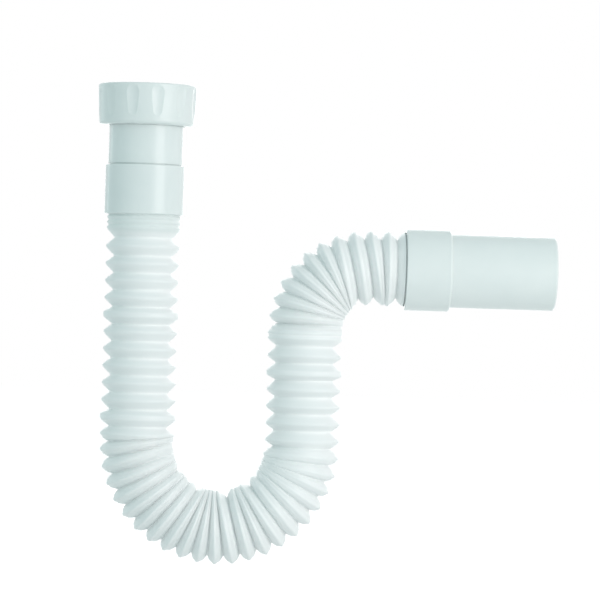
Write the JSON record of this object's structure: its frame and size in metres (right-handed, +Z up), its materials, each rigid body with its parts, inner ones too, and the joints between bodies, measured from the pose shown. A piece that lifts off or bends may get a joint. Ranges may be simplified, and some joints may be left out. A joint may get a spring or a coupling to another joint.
{
  "type": "flexible trap",
  "caption": "White flexible waste trap: a union nut on a flanged tail, a bellows hose bent into a water-seal U and an elbow, and a plain outlet spigot.",
  "frame": {"origin": "centre of the nut's mouth", "axes": "+Z up along the inlet, +X level towards the outlet's open end"},
  "size_m": [0.2502, 0.0534, 0.2578],
  "materials": {
    "nut_plastic": "semi-gloss moulded white polypropylene",
    "fitting_plastic": "semi-gloss moulded white polypropylene",
    "hose_plastic": "satin blown white polypropylene, slightly translucent",
    "washer_rubber": "matt black rubber"
  },
  "bodies": {
    "trap": {"inlet_tail": "fitting_plastic", "seal_washer": "washer_rubber", "inlet_sleeve": "fitting_plastic", "hose": "hose_plastic"},
    "nut": {"union_nut": "nut_plastic"},
    "outlet": {"outlet_fitting": "fitting_plastic"}
  },
  "joints": [
    {"name": "nut_spin", "type": "hinge", "parent": "trap", "child": "nut", "pos_m": [0, 0, 0], "axis": [0, 0, 1], "continuous": true},
    {"name": "outlet_tilt", "type": "hinge", "parent": "trap", "child": "outlet", "pos_m": [0.121, 0, -0.09504], "axis": [0, -1, 0], "range_deg": [-15, 15], "deforming": ["hose"]}
  ]
}
